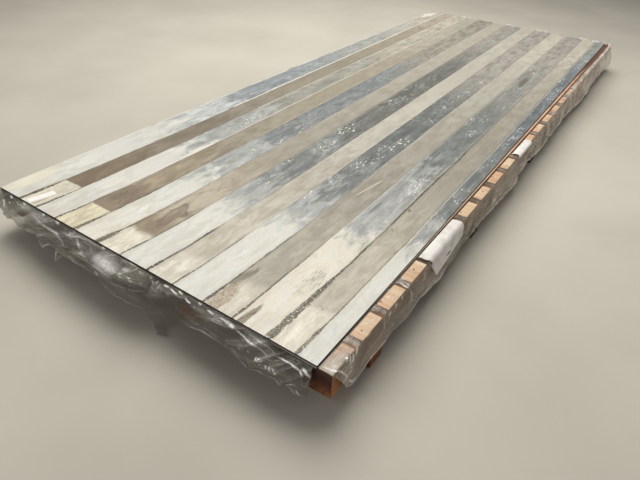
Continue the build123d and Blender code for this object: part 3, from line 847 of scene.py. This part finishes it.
def front_shape(run, drop):
    across = front_start + (front_end - front_start) * run
    stand_off, hem = between(front_hem, across)
    height = deck_top + 0.002 - (deck_top - hem) * drop
    swell = 0.013 + 0.016 * noise.noise(Vector((across * 3.4, drop * 1.5, 7)))
    out = 0.002 + stand_off * math.sin(math.pi / 2 * min(1.0, drop * 1.3)) ** 1.2
    out += swell * math.sin(math.pi * min(1.0, drop * 1.25))
    across_here = across + 0.006 * noise.noise(Vector((across * 9, drop * 3, 2)))
    top_haze, middle_haze, hem_haze = between(front_haze, across)
    for point_x, half_width, down, outwards in hem_points:
        point = max(0.0, 1 - abs(across - point_x) / half_width) * max(0.0, drop * 5 - 4)
        height -= down * point
        out += outwards * point
        hem_haze += 0.25 * point
    haze = between([(0.08, top_haze), (0.3, middle_haze), (0.95, hem_haze), (1.0, hem_haze + 0.2)], drop)[0]
    loose = min(1.0, 0.15 + drop * 6)
    return Vector((across_here, deck_near - out, height)), (across, drop), haze, loose


def clear_of_front(spot):
    return Vector((spot.x, min(spot.y, deck_near - film_off), max(spot.z, floor_off)))


front_film = hang_film("film_front_wrap", front_shape, (640, 60), 0.013, 3.0, clear_of_front, front_creases,
                       fold_contrast=0.7)
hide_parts("film_front")
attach(front_film, "root")

# Doubled fold of the front wrap, turned back up to the left of its torn strip. It shows as a
# paler band, narrow on the left and as high as the skirt on the right. Its hem is given as the
# front wrap's is.
fold_hem = [(-0.52, 0.036, 0.100), (-0.394, 0.046, 0.097), (-0.329, 0.050, 0.109), (-0.240, 0.058, 0.118),
            (-0.124, 0.064, 0.124), (-0.006, 0.064, 0.134), (0.060, 0.056, 0.142), (0.105, 0.044, 0.150)]
fold_creases = [(40, 0.4, [(-165, 22), (-90, 30), (-30, 38)]), (40, 0.4, [(-150, 48), (-90, 58), (-40, 62)]),
                (10, 0.35, [(-26, 18), (10, 16)]), (5, 0.6, [(-150, 60), (-110, 90)]),
                (5, 0.5, [(-128, 40), (-95, 52), (-60, 40)])]


def fold_shape(run, drop):
    across = fold_hem[0][0] + (fold_hem[-1][0] - fold_hem[0][0]) * run
    stand_off, hem = between(fold_hem, across)
    height = deck_top + 0.0015 - (deck_top - hem) * drop
    out = 0.004 + stand_off * math.sin(math.pi / 2 * min(1.0, drop * 1.6))
    band_start = between([(-0.52, 0.8), (-0.30, 0.7), (-0.16, 0.1), (-0.1, 0.0)], across)[0]
    in_band = max(0.0, min(1.0, (drop - band_start + 0.2) / 0.2))
    ends = min(1.0, 8 * run, 20 * (1 - run))
    bright = between([(-0.22, 0.62), (-0.13, 0.86), (-0.07, 0.84), (-0.03, 0.62), (0.08, 0.56)], across)[0]
    return Vector((across, deck_near - out, height)), (across, drop), bright * ends * in_band, 1.0


fold_film = hang_film("film_front_fold", fold_shape, (220, 26), 0.010, 9.0, clear_of_front, fold_creases)
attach(fold_film, "root")

# Torn strip of the front wrap, 55 mm wide at its root and 35 mm at its end, and a little hazy. It
# hangs from the hem to the floor and lies on it with its end turned out. Each point of its path:
# how far down the strip it is, and its place.
strip_path = [(0.0, 0.104, -2.072, 0.086), (0.5, 0.112, -2.060, 0.030), (0.68, 0.120, -2.058, 0.005),
              (1.0, 0.156, -2.082, 0.004)]
# The strip's two creases are painted glints.
strip_creases = [(6, 1.6, [(88, 55), (91, 62)]), (5, 1.2, [(90, 76), (93, 92)])]
root_width, end_width = 0.055, 0.035


def strip_shape(run, drop):
    x, y, z = between(strip_path, drop)
    reach = (run - 0.5) * (root_width - (root_width - end_width) * drop)
    haze = 0.3 + 0.2 * (abs(run - 0.5) > 0.46) + 0.2 * (drop > 0.96)
    return Vector((x + reach, y + 0.35 * reach, z + 0.05 * reach)), (0.115 + reach, drop), haze, 0.3


def clear_of_floor(spot):
    return Vector((spot.x, spot.y, max(spot.z, 0.0015)))


strip_film = hang_film("film_front_strip", strip_shape, (26, 50), 0.008, 15.0, clear_of_floor, strip_creases)
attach(strip_film, "root")

# Right wrap, lying on the bare ledge beside the sheets and turned down over the slat ends. It
# dips into the gaps between the slats, its near end is cut on the slant, and it is pressed flat
# under the two pads. Each point: the place along, how far the hem stands off, and its height.
right_hem = [
    (0.052, 0.010, 0.100), (0.087, 0.012, 0.077), (0.138, 0.012, 0.079), (0.208, 0.014, 0.081),
    (0.298, 0.014, 0.085), (0.440, 0.016, 0.074), (0.522, 0.016, 0.092), (0.688, 0.014, 0.046),
    (0.859, 0.014, 0.038), (0.974, 0.012, 0.058), (1.138, 0.012, 0.080), (1.398, 0.020, 0.066),
    (1.600, 0.026, 0.060), (1.674, 0.014, 0.062), (1.795, 0.012, 0.086), (1.941, 0.012, 0.064),
    (2.088, 0.012, 0.045), (2.292, 0.012, 0.051), (2.537, 0.012, 0.053), (2.655, 0.012, 0.061),
    (2.866, 0.012, 0.040), (3.084, 0.026, 0.036), (3.270, 0.024, 0.040), (3.427, 0.012, 0.036),
    (3.844, 0.014, 0.032), (4.050, 0.038, 0.045),
]
# The haze at places along the load, on the ledge and down the side.
right_haze = [
    (0.00, 0.66, 0.76), (0.06, 0.50, 0.74), (0.12, 0.20, 0.68), (0.20, 0.13, 0.62), (0.60, 0.13, 0.54),
    (1.00, 0.13, 0.58), (2.10, 0.16, 0.62), (2.60, 0.30, 0.66), (2.85, 0.46, 0.68), (3.10, 0.72, 0.70),
    (4.05, 0.82, 0.74),
]
# The right wrap's creases are given as the front wrap's are, with mm along the load; the short, strong ones
# are painted glints.
right_creases = [
    (4, 0.5, [(12, 3), (15, 22), (23, 35), (44, 55), (60, 76)]),
    (5, 0.5, [(60, 79), (91, 93), (108, 94)]), (4, 2.2, [(129, 33), (123, 41), (117, 49)]),
    (4, 2.2, [(103, 42), (98, 55)]), (4, 2.2, [(76, 27), (70, 42)]), (4, 1.4, [(90, 36), (84, 50)]),
    (5, 0.5, [(153, 34), (146, 38)]), (6, 0.6, [(281, 33), (256, 35), (241, 34)]),
    (6, 0.6, [(204, 40), (182, 38), (165, 32)]), (4, 0.7, [(325, 46), (310, 52)]),
    (5, 0.6, [(364, 43), (351, 47)]), (4, 0.6, [(404, 41), (393, 47)]),
    (4.5, 0.55, [(434, 1), (451, 8), (444, 23), (444, 40)]), (5, 0.5, [(464, 3), (476, 15), (498, 22)]),
    (5, 0.5, [(512, 11), (535, 22)]), (5, 0.5, [(557, 8), (564, 27)]), (5, 0.5, [(385, 0), (407, 7)]),
    (5, 0.3, [(448, 39), (458, 60), (436, 78)]), (4, 0.3, [(283, 41), (284, 68), (247, 75)]),
    (4, 0.35, [(60, 99), (420, 98)]), (4, 0.35, [(400, 99), (1000, 98)]),
    (5, 0.35, [(980, 99), (1700, 98)]), (6, 0.35, [(1650, 99), (2700, 98)]),
    (7, 0.35, [(2650, 99), (4040, 98)]), (4, 0.6, [(208, 8), (222, 14), (232, 22)]),
    (4, 0.6, [(238, 16), (250, 21)]), (4, 0.5, [(348, 10), (372, 16)]), (4, 0.5, [(500, 6), (512, 3)]),
    (4, 0.5, [(528, 12), (547, 8)]), (4, 0.5, [(352, 22), (374, 26)]),
]
# The shares of the sheet's width that lie on the ledge and round its edge, the sag into a gap,
# the clearance beside the upper sheet at the near end, and where the pads press the film down.
ledge_share, bend_share = 0.3, 0.1
bend_radius = 0.0016
gap_sag = 0.0045
film_start, film_length = 0.0030, 4.048
pressed = ((0.60, 0.92), (1.60, 1.82))
slat_spans = [(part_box(name)[0].y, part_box(name)[1].y) for name in slat_names]


def over_gap(along_y):
    """0 above a slat and 1 over the middle of a gap between two slats."""
    for (_, end), (start, _) in zip(slat_spans, slat_spans[1:]):
        if end < along_y < start:
            return math.sin(math.pi * (along_y - end) / (start - end))
    return 0.0


def right_shape(run, drop):
    side = max(0.0, (drop - ledge_share - bend_share) / (1 - ledge_share - bend_share))
    near_cut = 0.001 + 0.003 * min(1.0, drop / 0.4) + 0.054 * side
    from_near = near_cut + (film_length - near_cut) * run
    along_y = deck_near + from_near
    inner = panel_right + film_start + rim_slope * from_near
    outer = deck_right - bend_radius
    stand_off, hem = between(right_hem, from_near)
    ledge_haze, side_haze = between(right_haze, from_near)
    gap = over_gap(along_y)
    free = 1.0
    for start, end in pressed:
        past_pad = max(start - from_near, from_near - end, 0.0) / 0.04
        free = min(free, max(past_pad, 3.0 * side - 1.9))
    free = max(0.0, min(1.0, free))
    if drop < ledge_share:
        share = drop / ledge_share
        spot = Vector((inner + (outer - inner) * share, along_y, deck_top + film_off))
        spot.z -= gap_sag * gap * share
        haze, loose = ledge_haze * (0.8 + 0.5 * share) + (0.56 - 0.5 * ledge_haze) * gap, 0.12
        haze += 0.35 * share * max(0.0, 1 - from_near / 0.15)
    elif drop < ledge_share + bend_share:
        turn = (drop - ledge_share) / bend_share * math.pi / 2
        spot = Vector((outer + (bend_radius + film_off) * math.sin(turn), along_y,
                       deck_top - bend_radius + (bend_radius + film_off) * math.cos(turn)))
        spot.z -= gap_sag * gap * math.cos(turn)
        haze, loose = ledge_haze + (side_haze - ledge_haze) * (drop - ledge_share) / bend_share, 0.16
    else:
        belly = 0.009 * math.sin(math.pi * side) * (0.6 + noise.noise(Vector((along_y * 2.5, 1, 4))))
        spot = Vector((deck_right + film_off + (stand_off * side + belly) * free, along_y,
                       deck_top - bend_radius - (deck_top - bend_radius - hem) * side))
        haze = between([(0.0, side_haze), (0.85, side_haze + 0.06), (0.96, side_haze + 0.3)], side)[0]
        loose = 0.16 + 0.84 * min(1.0, side * 3)
    return spot, (from_near, drop), haze, loose * free


def clear_of_right(spot):
    if spot.x < deck_right - 0.002:
        return Vector((spot.x, spot.y, max(spot.z, deck_top + 0.0008 - 0.006 * over_gap(spot.y))))
    return Vector((max(spot.x, deck_right + 0.0008), spot.y, max(spot.z, floor_off)))


right_film = hang_film("film_right_wrap", right_shape, (1500, 60), 0.008, right_seed, clear_of_right,
                       right_creases, fold_contrast=0.35)
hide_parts("film_right")
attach(right_film, "root")


# Left wrap, hung from the long side that the sheets are flush with. Its torn upper edge
# stands up in pale tufts along the sheet.
left_length = 4.05


def left_shape(run, drop):
    from_near = left_length * (1 - run)
    along_y = deck_near + from_near
    hem = 0.056 + 0.012 * noise.noise(Vector((from_near * 2.5, 5, 1)))
    tuft = 0.010 * max(0.0, noise.noise(Vector((from_near * 7, 2, 9)))) * (1 - min(1.0, drop * 6))
    height = deck_top + 0.003 + tuft - (deck_top - hem) * drop
    out = 0.003 + (0.014 + 0.012 * noise.noise(Vector((from_near * 3, 8, 2)))) * math.sin(math.pi / 2 * drop)
    return Vector((deck_left - out, along_y, height)), (from_near, drop), 0.42 + 0.2 * (drop > 0.95), 1.0


def clear_of_left(spot):
    return Vector((min(spot.x, deck_left - film_off), spot.y, max(spot.z, floor_off)))


left_film = hang_film("film_left_wrap", left_shape, (800, 26), 0.010, 33.0, clear_of_left)
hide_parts("film_left")
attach(left_film, "root")

# Back wrap, hung from the far end of the deck. Its torn upper edge stands above the sheets in
# bright scraps, each from one place across to the next, as high above the deck as it says.
scraps = [(-0.776, -0.62, 0.006), (-0.50, -0.30, 0.012), (-0.10, 0.02, 0.013), (0.16, 0.30, 0.013),
          (0.36, 0.43, 0.012), (0.505, 0.604, 0.014), (0.607, 0.736, 0.014), (0.738, 0.772, 0.020)]
scrap_creases = [(26, 1.3, [(start * 1000, 1), (end * 1000, 1)]) for start, end, _ in scraps[1:]]


def back_shape(run, drop):
    across = deck_right - (deck_right - deck_left) * run
    hem = 0.054 + 0.012 * noise.noise(Vector((across * 3, 5, 3)))
    scrap = 0.0
    for start, end, scrap_height in scraps:
        if start < across < end:
            ends = min(1.0, (across - start) / 0.02, (end - across) / 0.02)
            scrap = scrap_height * ends * min(1.0, 0.95 + 0.8 * noise.noise(Vector((across * 40, 1, 5))))
    edge = max(0.0, 1 - drop * 8)
    height = deck_top + 0.001 + scrap * edge - (deck_top - hem) * drop
    out = 0.003 + (0.012 + 0.010 * noise.noise(Vector((across * 3, 8, 6)))) * math.sin(math.pi / 2 * drop)
    haze = 0.42 + 0.55 * edge * (scrap > 0)
    return Vector((across, deck_far + out + 0.9 * scrap * edge, height)), (across, drop), haze, 1 - 0.8 * edge


def clear_of_back(spot):
    return Vector((spot.x, max(spot.y, deck_far + film_off), max(spot.z, floor_off)))


back_film = hang_film("film_back_wrap", back_shape, (400, 30), 0.010, 41.0, clear_of_back, scrap_creases)
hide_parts("film_back")
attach(back_film, "root")

# Soft white pads, polyethylene foam sheet about 5 mm thick, cut by hand. They are laid over the wrapped ledge
# and bent down over the slat ends. The long one has a short tear in its side, painted as a dark spot, the
# shade inside it. The foam is matt, with cells of 2 mm and a little soiled.
tear_y, tear_z = deck_near + 0.772, 0.134
pad_thickness = 0.0045

foam, node = new_finish("white_foam_sheet")
place = node("TexCoord").outputs["Object"]
cells = node("TexVoronoi", place, sockets={"Scale": 420.0})
soiling = node("TexNoise", place, sockets={"Scale": 22.0, "Detail": 5.0})
tone = node("ValToRGB", soiling.outputs["Fac"], stops=[(0.35, "#CFCCC6"), (0.55, "#E6E3DF")])
# Painted shade: the tear is a dark spot on the long pad's side.
spot = node("Mapping", place, (0, tear_y, tear_z), (0.06, 0, 0), (1000, 0.022, 0.004),
            vector_type="TEXTURE")
tear_shade = node("VectorMath LENGTH", spot).outputs["Value"]
tear_shade = node("MapRange", tear_shade, 1.0, 0.75, 0.0, 1.0)
tone = node("MixRGB", tear_shade, tone, "#2B2926")
relief = node("Bump", sockets={"Height": cells.outputs["Distance"], "Strength": 0.15, "Distance": 0.001})
surface = node("BsdfPrincipled", tone, sockets={"Roughness": 0.6, "Normal": relief})
node("OutputMaterial", surface)


def lay_pad(name, shape, steps):
    """A foam pad: a grid bent to shape, given its thickness and its soft edges."""
    bm = bmesh.new()
    bmesh.ops.create_grid(bm, x_segments=steps[0], y_segments=steps[1], size=0.5)
    for vertex in bm.verts:
        vertex.co = shape(vertex.co.x + 0.5, 0.5 - vertex.co.y)
    bmesh.ops.recalc_face_normals(bm, faces=bm.faces)
    bm.normal_update()
    if sum(face.normal.z for face in bm.faces) < 0:
        bmesh.ops.reverse_faces(bm, faces=bm.faces)
    bmesh.ops.solidify(bm, geom=bm.faces, thickness=pad_thickness)
    bmesh.ops.recalc_face_normals(bm, faces=bm.faces)
    for face in bm.faces:
        face.smooth = True
    pad = new_piece(name, bm, foam)
    soften = pad.modifiers.new("soft_edges", "SUBSURF")
    soften.levels = soften.render_levels = 1
    return pad


def long_pad_shape(run, drop):
    ledge_end, bend_end = 0.35, 0.6
    start = 0.602 + 0.062 * max(0.0, drop - ledge_end) / (1 - ledge_end)
    end = 0.896 + 0.030 * drop
    from_near = start + (end - start) * run
    along_y = deck_near + from_near
    inner = panel_right + 0.0062 + rim_slope * from_near
    top = deck_top + 0.0068
    corner = 0.020
    outer = deck_right + 0.0075 - corner
    side_drop = between([(0.0, 0.096), (0.3, 0.083), (0.5, 0.072), (0.65, 0.068), (1.0, 0.068)], run)[0]
    if drop < ledge_end:
        share = drop / ledge_end
        bow = 0.003 * math.sin(math.pi * share) * (0.6 + 0.6 * noise.noise(Vector((along_y * 5, 1, 1))))
        return Vector((inner + (outer - inner) * share, along_y, top + bow))
    if drop < bend_end:
        turn = (drop - ledge_end) / (bend_end - ledge_end) * math.pi / 2
        return Vector((outer + corner * math.sin(turn), along_y, top - corner * (1 - math.cos(turn))))
    share = (drop - bend_end) / (1 - bend_end)
    free = 1 - run ** 3
    valley = 0.006 * math.sin(math.pi * min(1.0, share * 1.6)) * free
    lip = 0.010 * max(0.0, (share - 0.45) / 0.55) ** 1.3 * free
    height = top - corner - (side_drop - corner) * share
    return Vector((outer + corner + 0.002 - valley + lip, along_y, height))


long_pad = lay_pad("edge_pad_long_foam", long_pad_shape, (40, 36))
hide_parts("edge_pad_long")
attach(long_pad, "root")


def short_pad_shape(run, drop):
    ledge_end = 0.6
    from_near = 1.610 + 0.200 * run + 0.006 * math.sin(math.pi * drop)
    along_y = deck_near + from_near
    inner = panel_right + 0.010 + rim_slope * from_near
    top = deck_top + 0.0066
    corner = 0.008
    outer = deck_right + 0.0115 - corner
    if drop < ledge_end:
        share = drop / ledge_end
        bow = 0.003 * math.sin(math.pi * share)
        return Vector((inner + (outer - inner) * share, along_y, top + bow))
    turn = (drop - ledge_end) / (1 - ledge_end) * math.pi / 2
    return Vector((outer + corner * math.sin(turn), along_y, top - 1.6 * corner * (1 - math.cos(turn))))


short_pad = lay_pad("edge_pad_short_foam", short_pad_shape, (26, 20))
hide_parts("edge_pad_short")
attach(short_pad, "root")

# Label, a plain white paper sticker 100 by 30 mm on the upper panel near its left corner, put
# on askew and left bare. The paper is smooth and half matt, a little rubbed.
label_size = (0.100, 0.030)
label_place = Vector((panel_left + 0.184, panel_near + 0.056, panel_upper + 0.00015))
label_turn = math.radians(78.3)

paper, node = new_finish("white_label_paper")
place = node("TexCoord").outputs["Object"]
rubbed = node("TexNoise", place, sockets={"Scale": 120.0, "Detail": 3.0})
tone = node("ValToRGB", rubbed.outputs["Fac"], stops=[(0.3, "#E9E7E4"), (0.6, "#F6F5F3")])
surface = node("BsdfPrincipled", tone, sockets={"Roughness": 0.45})
node("OutputMaterial", surface)

bm = bmesh.new()
bmesh.ops.create_grid(bm, x_segments=10, y_segments=3, size=0.5)
for vertex in bm.verts:
    flat_x, flat_y = vertex.co.x * label_size[0], vertex.co.y * label_size[1]
    vertex.co = label_place + Vector((flat_x * math.cos(label_turn) - flat_y * math.sin(label_turn),
                                      flat_x * math.sin(label_turn) + flat_y * math.cos(label_turn),
                                      0.0004 * abs(vertex.co.x) ** 2))
bmesh.ops.solidify(bm, geom=bm.faces, thickness=-0.0002)
bmesh.ops.recalc_face_normals(bm, faces=bm.faces)
label = new_piece("paper_label", bm, paper)
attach(label, "root")

low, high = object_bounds()
